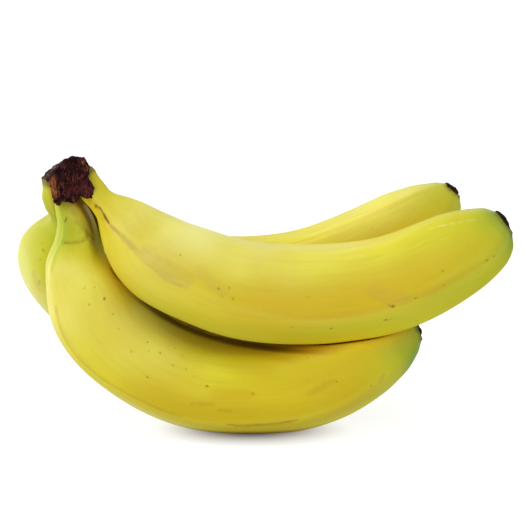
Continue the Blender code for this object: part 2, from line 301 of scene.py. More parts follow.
# Fruit. Axis rows are (x, y, z, radius) in mm. Places on the skin are (share of the length,
# degrees round the axis: 0 up, 90 front, 180 down). turn: degrees the ridges stand at. green,
# bloomAndSheen: unripe green, and pale wax with a painted sheen, along the fruit. waxy: the
# heights of the outward direction between which the wax and the painted sheen grow full.
# lemon, paleUnder, lowerShade: how light the whole skin and the underside are, and how much
# painted shade deepens the lower half. strokes: places, width in mm, strength and kind;
# amberShade, creaseShade and dark strokes are painted shade, shine strokes a painted highlight.
# relief: places, width and height in mm. freckles: share, degrees, size in mm, strength.
# ridges: strength of each of the five long ridges. tip: size of the dried end as a share of the
# last radius, its shift upward and its height in mm.
frontUpper = {
    "node": "banana_front_upper",
    "rings": 370, "sides": 256,
    "axis": [
        (-72.5, 0.0, 104.9, 5.5), (-68.6, -2.0, 101.0, 5.3), (-65.8, -3.5, 98.1, 5.1),
        (-63.0, -5.0, 95.7, 5.9), (-60.6, -6.0, 93.7, 7.8), (-57.4, -7.0, 90.65, 10.4),
        (-54.1, -8.0, 87.2, 12.65), (-48.2, -9.0, 80.95, 15.85), (-41.2, -10.0, 75.6, 17.5),
        (-30.6, -10.0, 70.5, 18.5), (-14.5, -10.0, 64.4, 19.2), (1.0, -10.0, 61.5, 19.5),
        (19.0, -10.0, 60.9, 19.6), (39.0, -10.0, 63.2, 19.2), (56.5, -10.0, 68.6, 18.6),
        (73.0, -10.0, 77.1, 17.2), (85.8, -10.0, 84.3, 13.3), (91.0, -10.0, 88.3, 9.4),
        (93.4, -10.0, 90.2, 6.9),
    ],
    "turn": [(0.0, -16), (0.19, -18), (0.37, -11), (0.54, -3), (0.64, -3), (0.9, -12), (1.0, -8)],
    "green": [
        (0.0, 0.22), (0.06, 0.14), (0.12, 0.05), (0.2, 0.0), (0.7, 0.0), (0.84, 0.14),
        (0.93, 0.28), (0.97, 0.55), (1.0, 0.9),
    ],
    "waxy": (0.0, 0.85),
    "bloomAndSheen": [
        (0.0, 0.0), (0.08, 0.15), (0.14, 1.1), (0.24, 1.1), (0.34, 0.5), (0.5, 0.26), (0.7, 0.12), (1.0, 0.0),
    ],
    "strokes": [
        ([(0.062, 128), (0.066, 112), (0.076, 104), (0.088, 107)], 0.62, 0.75, "scratch"),
        ([(0.088, 107), (0.097, 110), (0.106, 108)], 0.8, 0.95, "scratch"),
        ([(0.02, 140), (0.035, 128), (0.045, 140)], 1.6, 0.22, "stain"),
        ([(0.109, 108), (0.135, 100), (0.155, 95), (0.178, 92)], 0.9, 0.62, "bruise"),
        ([(0.15, 96), (0.178, 92), (0.204, 91), (0.236, 92), (0.27, 92)], 1.7, 0.36, "bruise"),
        ([(0.2, 87), (0.24, 86), (0.29, 87)], 3.6, 0.28, "bruise"),
        ([(0.246, 96), (0.262, 97), (0.284, 96)], 1.1, 0.35, "bruise"),
        ([(0.31, 72), (0.345, 80), (0.37, 84)], 3.0, 0.18, "bruise"),
        ([(0.69, 80), (0.72, 90), (0.75, 98)], 3.0, 0.18, "bruise"),
        # painted shade: amber tints across the front
        ([(0.56, 70), (0.62, 68), (0.69, 70), (0.78, 68)], 3.2, 0.3, "amberShade"),
        ([(0.4, 82), (0.46, 84), (0.52, 82)], 2.4, 0.25, "amberShade"),
        ([
            (0.34, 92), (0.455, 96), (0.536, 100), (0.656, 100),
            (0.764, 99), (0.862, 104), (0.93, 106), (1.0, 98),
        ], 2.0, 0.32, "amberShade"),
        ([(-0.2, 66), (0.0, 64), (0.1, 66), (0.3, 72)], 9.0, 0.16, "amberShade"),
        ([(0.24, 92), (0.45, 84), (0.6, 78), (0.75, 72), (1.0, 70)], 9.0, 0.24, "amberShade"),
        ([(0.4, 121), (0.65, 118), (0.8, 120), (0.9, 122), (1.05, 112)], 5.5, 0.24, "band"),
        # painted highlight: broken pale streaks along the top
        ([(0.857, 30), (0.866, 31)], 0.35, 0.15, "shine"),
        ([(0.874, 32), (0.89, 34)], 0.4, 0.18, "shine"),
        ([(0.896, 34), (0.908, 35)], 0.3, 0.15, "shine"),
        ([(0.918, 36), (0.926, 36)], 0.3, 0.16, "shine"),
        ([(0.938, 37), (0.956, 39)], 0.35, 0.14, "shine"),
    ],
    "relief": [
        # rim beside the gap, hollow inside it, groove of the long bruise, hollow of the neck,
        # swelling beside the crown
        ([(0.03, 150), (0.07, 149), (0.1, 144), (0.12, 147), (0.145, 158)], 0.9, 0.4),
        ([(0.03, 135), (0.07, 133), (0.1, 130), (0.125, 134)], 1.4, -0.35),
        ([(0.109, 108), (0.155, 95), (0.204, 91), (0.26, 92)], 1.6, -0.25),
        ([(0.05, 75), (0.09, 70), (0.13, 66)], 2.2, -0.3),
        ([(0.0, 355), (0.006, 15), (0.008, 35)], 1.6, 0.7),
    ],
    "ridges": [0.4, 1.0, 0.8, 0.8, 0.6],
    "tip": {"size": 0.6, "shift": 0.9, "height": 0.9},
    "freckles": [
        (0.361, 83, 0.55, 0.6), (0.383, 78, 0.4, 0.5), (0.396, 89, 0.45, 0.5), (0.372, 90, 0.35, 0.5),
        (0.722, 102, 0.75, 0.8), (0.715, 100, 0.4, 0.6), (0.596, 119, 0.6, 0.75), (0.702, 122, 0.8, 0.7),
        (0.711, 123, 0.5, 0.6), (0.769, 102, 0.45, 0.6), (0.52, 116, 0.4, 0.5), (0.83, 104, 0.4, 0.5),
        (0.93, 108, 0.6, 0.5), (0.945, 112, 0.5, 0.5), (0.46, 92, 0.3, 0.4), (0.55, 78, 0.3, 0.35),
    ],
    "lemon": 0.05, "paleUnder": 0.1, "lowerShade": 0.2, "noiseSeed": 3,
}
frontLower = {
    "node": "banana_front_lower",
    "rings": 370, "sides": 256,
    "axis": [
        (-79.8, 1.0, 98.5, 4.6), (-78.6, 1.0, 94.0, 5.8), (-76.4, 0.0, 87.7, 7.2),
        (-75.8, 0.0, 79.9, 9.0), (-75.3, 0.0, 71.2, 14.0), (-72.2, 0.0, 61.5, 17.7),
        (-68.2, 0.0, 50.4, 19.3), (-60.2, 0.0, 39.3, 19.6), (-47.0, 0.0, 28.7, 19.6),
        (-28.5, 0.0, 20.7, 19.6), (-9.0, 0.0, 18.7, 19.6), (9.5, 0.0, 19.8, 19.6),
        (25.5, 0.0, 25.0, 19.2), (38.5, 0.0, 32.0, 17.7), (50.0, 0.0, 37.8, 13.6),
        (56.4, 0.0, 40.8, 9.6), (61.4, 0.0, 42.8, 5.4),
    ],
    "turn": [
        (0.0, 14), (0.06, 14), (0.12, 26), (0.2, 27), (0.27, 26), (0.31, 24), (0.36, 20),
        (0.42, 15), (0.5, 13), (0.6, 11), (0.7, 7), (1.0, 8),
    ],
    "waxy": (-0.35, 0.5),
    "bloomAndSheen": [
        (0.0, 0.0), (0.1, 0.0), (0.14, 0.6), (0.22, 0.65), (0.34, 0.35), (0.46, 0.1), (0.6, 0.0), (1.0, 0.0),
    ],
    "green": [
        (0.0, 0.62), (0.07, 0.6), (0.095, 0.42), (0.13, 0.12), (0.2, 0.0),
        (0.82, 0.0), (0.9, 0.25), (0.95, 0.7), (1.0, 1.0),
    ],
    "strokes": [
        # painted shadow: a dark line on the skin under the upper fruit's lower edge
        ([
            (0.2, 30), (0.334, 4), (0.39, -3), (0.446, -7), (0.498, -8), (0.549, -4), (0.592, 3),
            (0.63, 9), (0.686, 21), (0.755, 36), (0.82, 50),
        ], 3.2, 0.85, "dark"),
        # painted shade: the amber halo and the upper fruit's shadow on the skin below it
        ([(0.56, 2), (0.63, 8), (0.69, 18), (0.76, 31), (0.84, 46), (0.92, 56)], 4.6, 0.9, "amberShade"),
        ([
            (0.34, 20), (0.44, 12), (0.5, 12), (0.6, 18), (0.68, 28), (0.76, 42), (0.86, 58),
        ], 6.8, 0.6, "amberShade"),
        ([(0.5, 22), (0.6, 34), (0.7, 46), (0.8, 60), (0.94, 70)], 12, 0.3, "amberShade"),
        ([(0.584, 119), (0.607, 121), (0.65, 119), (0.683, 118), (0.712, 116)], 0.6, 0.5, "stain"),
        ([(0.6, 121), (0.65, 120), (0.7, 118)], 1.5, 0.25, "stain"),
        ([(0.2, 132), (0.261, 132), (0.307, 130), (0.359, 125), (0.423, 120), (0.498, 118)],
            0.7, 0.22, "stain"),
        ([(-0.06, 150), (0.0, 140), (0.027, 124), (0.052, 119), (0.077, 124), (0.105, 132), (0.17, 134)],
            1.9, 0.7, "band"),
        ([(-0.06, 170), (0.049, 160), (0.083, 160), (0.113, 165), (0.16, 165), (0.21, 160)],
            2.6, 0.45, "band"),
        # painted shade in the neck's fold and down its shadowed right side
        ([(0.019, 146), (0.044, 130), (0.078, 138), (0.102, 147), (0.125, 152)], 0.6, 0.5, "creaseShade"),
        ([(0.090, 118), (0.091, 104), (0.090, 88), (0.088, 71), (0.084, 53)], 0.4, 0.45, "creaseShade"),
        ([(0.073, 52), (0.083, 38), (0.093, 26)], 0.5, 0.7, "creaseShade"),
        ([(0.069, 60), (0.079, 48), (0.088, 44)], 0.4, 0.6, "creaseShade"),
        ([(0.0, 62), (0.03, 58), (0.06, 50), (0.085, 40)], 3.0, 0.6, "creaseShade"),
        # painted shade down the neck's right side
        ([(-0.05, 46), (0.03, 38), (0.06, 30), (0.1, 26)], 2.0, 0.6, "dark"),
        ([(0.044, 106), (0.050, 112)], 0.35, 0.6, "scratch"),
        ([(0.512, 99), (0.543, 96), (0.556, 95)], 0.8, 0.2, "stain"),
        ([(0.565, 102), (0.59, 102)], 0.6, 0.2, "stain"),
        ([(0.75, 88), (0.77, 86), (0.8, 85)], 1.5, 0.13, "stain"),
        # painted shade under the upper fruit
        ([(0.52, 84), (0.58, 82), (0.66, 80)], 2.6, 0.22, "amberShade"),
        ([(0.887, 117), (0.9, 112)], 1.0, 0.4, "bruise"),
    ],
    "relief": [
        # band down the neck, its groove, the fold where the neck ends and the swelling past it,
        # the neck's hollow front, a small fold at its right
        ([(0.0, 140), (0.027, 124), (0.052, 119), (0.077, 124), (0.105, 132), (0.135, 134)], 0.9, 0.55),
        ([(0.019, 148), (0.044, 132), (0.078, 140), (0.102, 149), (0.125, 154), (0.16, 154)], 0.9, -0.5),
        ([(0.089, 116), (0.090, 104), (0.089, 88), (0.087, 71), (0.083, 53)], 0.8, -0.8),
        ([(0.108, 112), (0.108, 85), (0.106, 60)], 4.0, 0.9),
        ([(0.02, 95), (0.05, 92), (0.075, 90)], 3.2, -0.6),
        ([(0.073, 52), (0.083, 38), (0.093, 26)], 0.7, -0.5),
    ],
    "ridges": [0.1, 1.1, 0.8, 0.7, 0.5],
    "tip": {"size": 0.5, "shift": 0.6, "height": 0.6},
    "freckles": [
        (0.178, 85, 0.35, 0.55), (0.183, 72, 0.3, 0.5), (0.211, 66, 0.55, 0.8), (0.211, 86, 0.35, 0.6),
        (0.251, 64, 0.4, 0.6), (0.291, 68, 0.4, 0.6), (0.348, 76, 0.35, 0.55), (0.378, 63, 0.35, 0.6),
        (0.404, 58, 0.5, 0.75), (0.431, 44, 0.35, 0.55), (0.444, 63, 0.4, 0.6), (0.476, 61, 0.4, 0.6),
        (0.409, 90, 0.5, 0.75), (0.486, 45, 0.35, 0.5), (0.534, 74, 0.5, 0.75), (0.632, 80, 0.45, 0.7),
        (0.657, 33, 0.35, 0.5), (0.772, 48, 0.4, 0.6), (0.667, 30, 0.3, 0.5), (0.47, 52, 0.3, 0.5),
        (0.49, 57, 0.3, 0.5), (0.455, 48, 0.3, 0.5), (0.50, 66, 0.3, 0.45),
    ],
    "lemon": 0.4, "paleUnder": 0.75, "lowerShade": 0.65, "noiseSeed": 11,
}
backLower = {
    "node": "banana_back_lower",
    "rings": 330, "sides": 224,
    "axis": [
        (-85.6, 11.0, 102.6, 4.6), (-84.2, 12.5, 95.2, 5.2), (-82.7, 17.8, 87.6, 5.3),
        (-82.0, 22.5, 82.2, 6.7), (-82.3, 27.0, 76.6, 12.8), (-82.8, 32.0, 70.0, 18.2),
        (-82.8, 36.5, 62.3, 20.6), (-77.6, 39.5, 51.8, 19.8), (-69.0, 41.5, 41.5, 19.3),
        (-57.2, 43.0, 30.5, 19.5), (-41.2, 44.0, 22.8, 19.5), (-24.2, 44.0, 18.9, 19.5),
        (-7.1, 44.0, 18.7, 19.4), (9.9, 44.0, 21.5, 18.9), (24.8, 44.0, 27.4, 17.8),
        (36.2, 44.0, 34.6, 15.7), (44.2, 44.0, 41.2, 11.9), (48.0, 44.0, 45.0, 8.5),
        (51.7, 44.0, 48.9, 4.4),
    ],
    "turn": [(0.0, 6), (0.3, 10), (1.0, 16)],
    "waxy": (-0.6, 0.2),
    "bloomAndSheen": [(0.0, 0.0), (0.14, 0.0), (0.2, 0.95), (0.27, 1.0), (0.42, 1.0), (0.6, 0.3), (1.0, 0.0)],
    "green": [
        (0.0, 0.6), (0.08, 0.66), (0.12, 0.62), (0.17, 0.42), (0.24, 0.2), (0.34, 0.08),
        (0.86, 0.0), (0.94, 0.5), (1.0, 0.9),
    ],
    "strokes": [
        ([(0.207, 119), (0.215, 122)], 1.0, 0.5, "bruise"),
        ([(0.2, 128), (0.225, 124)], 2.0, 0.2, "bruise"),
        ([(0.4, 252), (0.43, 257), (0.47, 256)], 1.4, 0.2, "bruise"),
        ([(0.63, 288), (0.645, 286), (0.66, 287)], 0.4, 0.25, "scratch"),
    ],
    "freckles": [
        (0.150, 132, 0.5, 0.7), (0.152, 127, 0.35, 0.6), (0.146, 142, 0.35, 0.5), (0.165, 128, 0.4, 0.5),
        (0.35, 270, 0.5, 0.6), (0.42, 285, 0.4, 0.6), (0.5, 275, 0.5, 0.7), (0.58, 262, 0.4, 0.6),
        (0.66, 300, 0.5, 0.6), (0.74, 280, 0.4, 0.6), (0.3, 240, 0.4, 0.5),
    ],
    "relief": [([(0.035, 175), (0.06, 175)], 3.2, 0.9)],
    "ridges": [0.8, 0.6, 0.8, 1.0, 0.8],
    "tip": {"size": 0.8, "shift": 0.2, "height": 1.1},
    "lemon": 0.5, "paleUnder": 0.6, "lowerShade": 0.5, "noiseSeed": 23,
}
backUpper = {
    "node": "banana_back_upper",
    "rings": 330, "sides": 224,
    "axis": [
        (-75.9, 20.5, 97.8, 4.6), (-71.5, 20.5, 91.5, 5.4), (-66.5, 22.0, 84.0, 8.2),
        (-58.5, 25.0, 77.8, 12.0), (-48.0, 27.5, 69.5, 15.5), (-34.0, 28.0, 60.8, 17.5),
        (-19.5, 28.0, 56.4, 18.2), (-4.0, 28.0, 55.8, 18.5), (13.7, 28.0, 57.9, 18.7),
        (32.3, 28.0, 63.8, 18.8), (46.0, 28.0, 70.3, 18.4), (56.8, 28.0, 77.0, 17.3),
        (66.2, 28.0, 84.8, 13.5), (72.2, 28.0, 90.2, 9.2), (76.2, 28.0, 94.4, 5.4),
    ],
    "turn": [(0.0, -10), (0.3, 0), (0.85, 2), (1.0, -8)],
    "green": [(0.0, 0.5), (0.08, 0.35), (0.15, 0.1), (0.25, 0.0), (0.86, 0.0), (0.94, 0.2), (1.0, 0.5)],
    "waxy": (0.1, 0.8),
    "bloomAndSheen": [(0.0, 0.0), (0.3, 0.05), (0.6, 0.05), (0.85, 0.3), (1.0, 0.3)],
    "strokes": [
        # painted shadow in the gap between the front necks
        ([(-0.05, 100), (0.05, 100), (0.1, 104), (0.15, 108), (0.23, 116)], 7.0, 0.93, "dark"),
        ([(-0.02, 80), (0.06, 92), (0.1, 98), (0.18, 104)], 0.7, 0.5, "band"),
        # painted shade along the front face and its crease line
        ([(0.36, 42), (0.6, 45), (0.72, 48), (0.84, 54), (0.93, 64), (1.06, 76)], 6.0, 0.12, "amberShade"),
        ([(0.5, 31), (0.67, 32), (0.78, 34), (0.92, 36), (1.04, 34)], 1.7, 0.3, "amberShade"),
        ([(0.33, 280), (0.36, 286), (0.38, 283)], 1.2, 0.2, "bruise"),
        ([(0.565, 262), (0.578, 260)], 0.4, 0.25, "scratch"),
    ],
    "freckles": [
        (0.4, 275, 0.5, 0.6), (0.5, 290, 0.4, 0.6), (0.62, 280, 0.5, 0.6), (0.7, 265, 0.4, 0.6),
        (0.8, 50, 0.35, 0.4), (0.55, 10, 0.4, 0.5), (0.48, 330, 0.4, 0.5),
    ],
    "relief": [],
    "ridges": [1.3, 0.6, 0.8, 0.8, 0.6],
    "tip": {"size": 0.64, "shift": 0.5, "height": 1.1},
    "lemon": 0.2, "paleUnder": 0.2, "lowerShade": 0.25, "noiseSeed": 37,
}
fruit = [frontUpper, frontLower, backLower, backUpper]
pressed = [
    # yielding fruit, the one it lies against, (share, mm of air between)
    (frontLower, frontUpper, [(0.0, 1.8), (0.36, 1.6), (0.5, 0.45), (1.0, 0.4)]),
    (backUpper, frontUpper, [(0.0, 0.25), (1.0, 0.25)]),
    (backLower, frontLower, [(0.0, 0.25), (1.0, 0.25)]),
    (backLower, backUpper, [(0.0, 0.25), (1.0, 0.25)]),
]


def axisFrame(values):
    # tangent t = dp/ds; side = front direction made square to t; up = side x t
    rows = np.asarray(values["axis"], float)
    fine = smoothSpline(rows[:, :3])
    along = np.r_[0, np.cumsum(np.linalg.norm(np.diff(fine, axis=0), axis=1))]
    share = along / along[-1]
    tangent = np.gradient(fine, along, axis=0)
    tangent /= np.linalg.norm(tangent, axis=1)[:, None]
    side = np.array([0.0, -1.0, 0.0]) + tangent[:, 1:2] * tangent
    side /= np.linalg.norm(side, axis=1)[:, None]
    up = np.cross(side, tangent)
    up *= np.sign(up[len(up) // 2, 2])
    knots = [share[np.argmin(((fine - row[:3]) ** 2).sum(1))] for row in rows]
    knots[0] = 0.0
    knots[-1] = 1.0
    return {
        "fine": fine, "share": share, "tangent": tangent, "side": side, "up": up,
        "knots": knots, "radii": rows[:, 3], "turn": values["turn"], "length": along[-1],
    }


def turnAt(line, share):
    return np.radians(between(line["turn"], share))


def axisAt(line, share):
    # centre, up, side and tangent at each share, by straight lines through the fine curve's points
    found = []
    for key in ("fine", "up", "side", "tangent"):
        columns = [np.interp(share, line["share"], line[key][:, c]) for c in range(3)]
        found.append(np.stack(columns, -1))
    return found


# Skin shared by the four fruit: sizes and heights in mm, places as shares of the length
skin = {
    "sharpness": [   # how five-sided a cross-section is along the fruit: more is sharper
        (0.0, 6.0), (0.1, 6.4), (0.2, 4.6), (0.35, 5.0), (0.6, 5.8), (0.8, 6.8), (0.97, 6.2), (1.0, 5.0),
    ],
    "neckRun": 1.6,                                       # the neck runs on into the crown
    "evenRings": 0.7,                                     # share of the rings' spacing that is even
    "lump": (26.0, 15.0, 15.0), "lumpHeight": 0.22,       # broad unevenness: size along and across
    "dimple": (11.0, 6.0, 6.0), "dimpleHeight": 0.08,     # finer unevenness
    "crest": 1.7, "crestHeight": 0.3, "crestPatch": (22.0, 9.0, 9.0),
    "flatten": 6.0,                                       # width over which a weak ridge is rounded off
    "ridgeLine": 1.6,                                     # width of the painted highlight, a paler line, along a ridge
    "tipClose": 0.26,                                     # the peel closes round the dry tip
    "scratchDepth": 0.25, "freckleDepth": 0.08,
    "ragged": 1.6,                                        # size of the unevenness of a mark's edge
    "raggedEdge": {                                       # how much of it each kind of mark has
        "scratch": 0.35, "bruise": 0.2, "stain": 0.35, "shine": 0.35, "band": 0.08,
        "creaseShade": 0.35, "amberShade": 0.08, "dark": 0.0,
    },
    "tapered": {"band": 1.0, "amberShade": 1.0, "dark": 0.5},  # marks that swell and fade, and how fast
    "nestle": 1.5,                                        # reach of the shade between two fruit
    "ground": 6.0,                                        # reach of the shade over the floor
    "bloomPatch": (14.0, 8.0, 8.0), "greenPatch": (12.0, 7.0, 7.0),
}


def fiveSided(angle, sharp):
    # (sum over k of max(0, cos(a - 72k))^p)^(-1/p)
    total = 0
    for k in range(bunch["facets"]):
        total = total + np.maximum(np.cos(angle - 2 * math.pi * k / bunch["facets"]), 0) ** sharp
    return total ** (-1 / sharp)


def skinRadius(line, share, angle):
    # R(s) times the five-sided outline over its mean, which is taken at five angles of half a side
    sharp = between(skin["sharpness"], share)
    turns = np.linspace(0, math.pi / bunch["facets"], 5)
    mean = sum(fiveSided(turn, sharp) for turn in turns) / len(turns)
    outline = fiveSided(angle - turnAt(line, share), sharp) / mean
    return monotoneCurve(line["knots"], line["radii"], share) * outline


def ridgeReach(local, radius):
    # mm along the skin to the nearest of the five ridges, which lie at 36 + 72k degrees
    step = 2 * math.pi / bunch["facets"]
    turns = local / step - 0.5
    return (turns - np.round(turns)) * step * radius


def ridgeGain(local, gains):
    # strength of the nearest ridge
    nearest = np.round(local / (2 * math.pi / bunch["facets"]) - 0.5).astype(int) % bunch["facets"]
    return np.array(gains)[nearest]


def clearanceTo(points, line):
    # distance to the nearest axis point, less the skin radius in that direction
    pick = slice(None, None, bunch["nearEvery"])
    centre = line["fine"][pick]
    nearest = np.empty(len(points), int)
    for start in range(0, len(points), bunch["blockSize"]):
        block = slice(start, start + bunch["blockSize"])
        nearest[block] = np.argmin(((points[block][:, None] - centre[None]) ** 2).sum(2), axis=1)
    away = points - centre[nearest]
    across = (away * line["side"][pick][nearest]).sum(1)
    above = (away * line["up"][pick][nearest]).sum(1)
    distance = np.linalg.norm(away, axis=1)
    return distance - skinRadius(line, line["share"][pick][nearest], np.arctan2(across, above))


def pressAgainst(grid, centre, line, air):
    # points closer than the air (one value per ring) are drawn toward their own axis, in steps
    # of a share of what is missing
    middle = np.repeat(centre[:, None], grid.shape[1], axis=1).reshape(-1, 3)
    points = grid.reshape(-1, 3).copy()
    air = np.repeat(air, grid.shape[1])
    near = np.where(clearanceTo(points, line) < air)[0]
    for _ in range(bunch["pressSteps"]):
        short = np.maximum(air[near] - clearanceTo(points[near], line), 0)
        inward = middle[near] - points[near]
        reach = np.linalg.norm(inward, axis=1)
        points[near] += inward * (bunch["pressShare"] * short / reach)[:, None]
    return points.reshape(grid.shape)


def strokeReach(path, share, angle, length, radius):
    # shortest distance, in mm over the unrolled skin, to a broken line of (share, degrees) points
    x = share * length
    best = np.full(share.shape, 1e6)
    for (s0, a0), (s1, a1) in zip(path[:-1], path[1:]):
        y0 = (angle - math.radians(a0) + math.pi) % (2 * math.pi) - math.pi
        y0 = y0 * radius
        dx = (s1 - s0) * length
        dy = math.radians(a1 - a0) * radius
        px = x - s0 * length
        t = np.clip((px * dx + y0 * dy) / (dx * dx + dy * dy + 1e-9), 0, 1)
        best = np.minimum(best, np.hypot(px - t * dx, y0 - t * dy))
    return best


def markTones(values, place, ragged):
    # a stroke is 1 within 0.35 of its width and 0 past 1.35, times its strength; a tapered one
    # also swells over the first third of its path and fades over the last
    tone = {kind: np.zeros(ragged.shape) for kind in skin["raggedEdge"]}
    for path, width, strength, kind in values["strokes"]:
        apart = strokeReach(path, *place) + width * skin["raggedEdge"][kind] * ragged
        grow = 1.0
        if kind in skin["tapered"]:
            first, last = path[0][0], path[-1][0]
            third = 0.33 * (last - first)
            grow = fade(first, first + third, place[0]) * (1 - fade(last - third, last, place[0]))
        wide = width * (0.3 + 0.7 * grow)
        mask = strength * grow ** skin["tapered"].get(kind, 1.0) * (1 - fade(0.35 * wide, 1.35 * wide, apart))
        tone[kind] = np.maximum(tone[kind], mask)
    return tone


def freckleTone(values, place, ragged):
    # a freckle is 1 within 0.45 of its size and 0 past 1.25, times its strength
    spots = np.zeros(ragged.shape)
    for share, degrees, size, strength in values["freckles"]:
        apart = strokeReach([(share, degrees), (share + 0.0005, degrees)], *place) + 0.2 * size * ragged
        spots = np.maximum(spots, strength * (1 - fade(0.45 * size, 1.25 * size, apart)))
    return spots


def nestling(grid, values, lines):
    # exp(-air to the nearest other fruit / reach)
    shade = np.zeros(grid.shape[:2])
    for other in fruit:
        if other is not values:
            air = clearanceTo(grid.reshape(-1, 3), lines[other["node"]]).reshape(shade.shape)
            shade = np.maximum(shade, np.exp(-np.maximum(air, 0) / skin["nestle"]))
    return shade


def skinFields(values, share, out, straight, nestle):
    # tones by the share of the length and by rise, the height of the outward direction
    rise = out[..., 2]
    seed = values["noiseSeed"]
    under = 1 - fade(-0.85, -0.45, rise)
    left = 0.5 * out[..., 0] * (1 - fade(0.3, 0.45, share))      # near the neck the painted sheen leans left, toward the key light
    facing = fade(*values["waxy"], rise - left)
    bloomAndSheen = between(values["bloomAndSheen"], share) * (0.15 + 0.85 * facing)
    below = values["paleUnder"] * under * fade(0.13, 0.2, share) * (1 - fade(0.4, 0.6, share))
    bloomAndSheen = np.maximum(bloomAndSheen, below) * (1 - nestle ** 0.3)
    late = fade(0.5, 0.7, share)
    lower = 0.9 * (1 - fade(-0.75 + 0.2 * late, -0.25 + 0.3 * late, rise))
    lower = lower * np.maximum(values["paleUnder"], late)
    early = 0.5 * (1 - fade(0.28, 0.5, share))
    green = between(values["green"], share)
    green = green + 0.2 * (1 - fade(-0.85, -0.35, rise)) * fade(0.05, 0.12, share)
    # painted shade: a deeper tone on the skin facing sideways and down
    lowerShade = fade(0.2, -0.3, rise) * fade(-0.95, -0.6, rise) * fade(0.3, 0.5, share)
    return {
        "straight": straight * mm,
        "under": 0.7 * (1 - fade(-0.7, 0.1, rise)),      # the wax is rubbed thin underneath
        "green": np.clip(green * (1 + 0.16 * latticeNoise(straight / skin["greenPatch"], seed + 4)), 0, 1),
        # lemon: lighter where the skin faces up, a painted highlight tint, and more toward the neck and the
        # low facets
        "lemon": np.clip(values["lemon"] + early + fade(0.1, 0.8, rise) + lower, 0, 1),
        "bloomAndSheen": np.clip(bloomAndSheen * (1 + 0.35 * latticeNoise(straight / skin["bloomPatch"], seed + 9)), 0, 1),
        "lowerShade": values["lowerShade"] * lowerShade * (1 - fade(0.85, 0.95, share)),
        "nestle": nestle,
    }


def fruitPiece(values, lines, material):
    # p = c(s) + r (cos a * up + sin a * side), s the share of the length and a the angle;
    # r = five-sided outline + lumps + ridge crests + relief strokes, closing at the tip, less
    # scratches and freckles; then the neighbours and the floor press their own form in
    line = lines[values["node"]]
    start = -skin["neckRun"] / line["length"]
    u = np.linspace(0, 1, values["rings"])
    even = skin["evenRings"]
    shares = start + (1 - start) * (even * u + (1 - even) / 2 * (1 - np.cos(np.pi * u)))
    held = np.clip(shares, 0, 1)
    sides = values["sides"]
    local = 2 * math.pi * (np.arange(sides) + 0.5 * sides / bunch["facets"]) / sides
    centre, up, side, tangent = axisAt(line, held)
    centre = centre + np.minimum(shares, 0)[:, None] * line["length"] * tangent
    angle = local[None] + turnAt(line, held)[:, None]
    share = np.repeat(held[:, None], sides, axis=1)
    local = np.repeat(local[None], len(held), axis=0)
    radius = skinRadius(line, share, angle)
    body = fade(0.1, 0.2, share) * (1 - fade(0.93, 0.99, share))
    straight = np.stack([share * line["length"], radius * np.cos(angle), radius * np.sin(angle)], -1)
    reach = ridgeReach(local, radius)
    gain = ridgeGain(local, values["ridges"])
    seed = values["noiseSeed"]
    lumps = skin["lumpHeight"] * latticeNoise(straight / skin["lump"], seed)
    lumps = lumps + skin["dimpleHeight"] * latticeNoise(straight / skin["dimple"], seed + 1)
    crest = bell(reach, skin["crest"]) * (0.55 + 0.45 * latticeNoise(straight / skin["crestPatch"], seed + 2))
    crest = crest * gain - 0.9 * bell(reach, skin["flatten"]) * np.maximum(0.5 - gain, 0) * body
    crest = crest * fade(0.0, 0.05, share) * (1 - fade(0.93, 1.0, share))
    radius = radius + body * lumps + skin["crestHeight"] * crest
    for path, width, height in values["relief"]:
        radius = radius + height * bell(strokeReach(path, share, angle, line["length"], radius), width)
    radius = radius * (1 - skin["tipClose"] * fade(0.975, 1.0, share) ** 2)
    ragged = layeredNoise(straight / skin["ragged"], seed + 3, 3)
    place = (share, angle, line["length"], radius)
    tone = markTones(values, place, ragged)
    spots = freckleTone(values, place, ragged)
    radius = radius - skin["scratchDepth"] * tone["scratch"] - skin["freckleDepth"] * spots
    out = np.cos(angle)[..., None] * up[:, None] + np.sin(angle)[..., None] * side[:, None]
    grid = centre[:, None] + radius[..., None] * out
    for yielding, other, gap in pressed:
        if yielding is values:
            grid = pressAgainst(grid, centre, lines[other["node"]], between(gap, held))
    grid[..., 2] = np.maximum(grid[..., 2], 0.0)
    rim = 0.8 * (1 - fade(0.0, 0.014, share)) + fade(0.99, 1.004, share + 0.003 * ragged)
    fields = {
        **skinFields(values, share, out, straight, nestling(grid, values, lines)), **tone,
        # grounded: painted shade on the skin near the floor
        "grounded": 0.9 * (1 - fade(0.0, skin["ground"], grid[..., 2])),
        "ridge": gain * bell(reach, skin["ridgeLine"]) * (1 - fade(0.9, 1.0, share)),
        "freckle": spots, "rim": np.clip(rim, 0, 1),
    }
    mesh = meshFromGrid(values["node"].replace("banana", "fruit"), grid, fields)
    return placePiece(mesh.name, mesh, material, values["node"])


# Banana peel: thin waxy skin, grown. Satin, lemon yellow with warmer clouds, lime green
# where it is unripe, faint lengthwise fibre streaks and pin-point brown freckles.
peelLook = {
    "lemon": "#C2B920", "golden": "#BAA416", "deep": "#A88E12", "pale": "#C8BE50", "bloomAndSheen": "#D5D080",
    "lime": "#9FA224", "leaf": "#6E8A20", "band": "#9DAC32", "creaseShade": "#6E6418", "amberShade": "#A67C10",
    "glow": "#E6B414", "shade": "#5A3A0C", "dark": "#5E3A0E", "stain": "#7A5410", "bruise": "#94764A",
    "scratch": "#6E4420", "freckle": "#5C3C14", "rim": "#3A2614", "shine": "#E6E0A8",
    "cloudMm": 26.0, "streakMm": 1.6, "streakStretch": 0.06, "poreMm": 0.45, "speckMm": 5.5,
    "roughness": 0.42, "ior": 1.45, "specular": 0.17, "bumpStrength": 0.22, "bumpDistance": 0.0003,
}


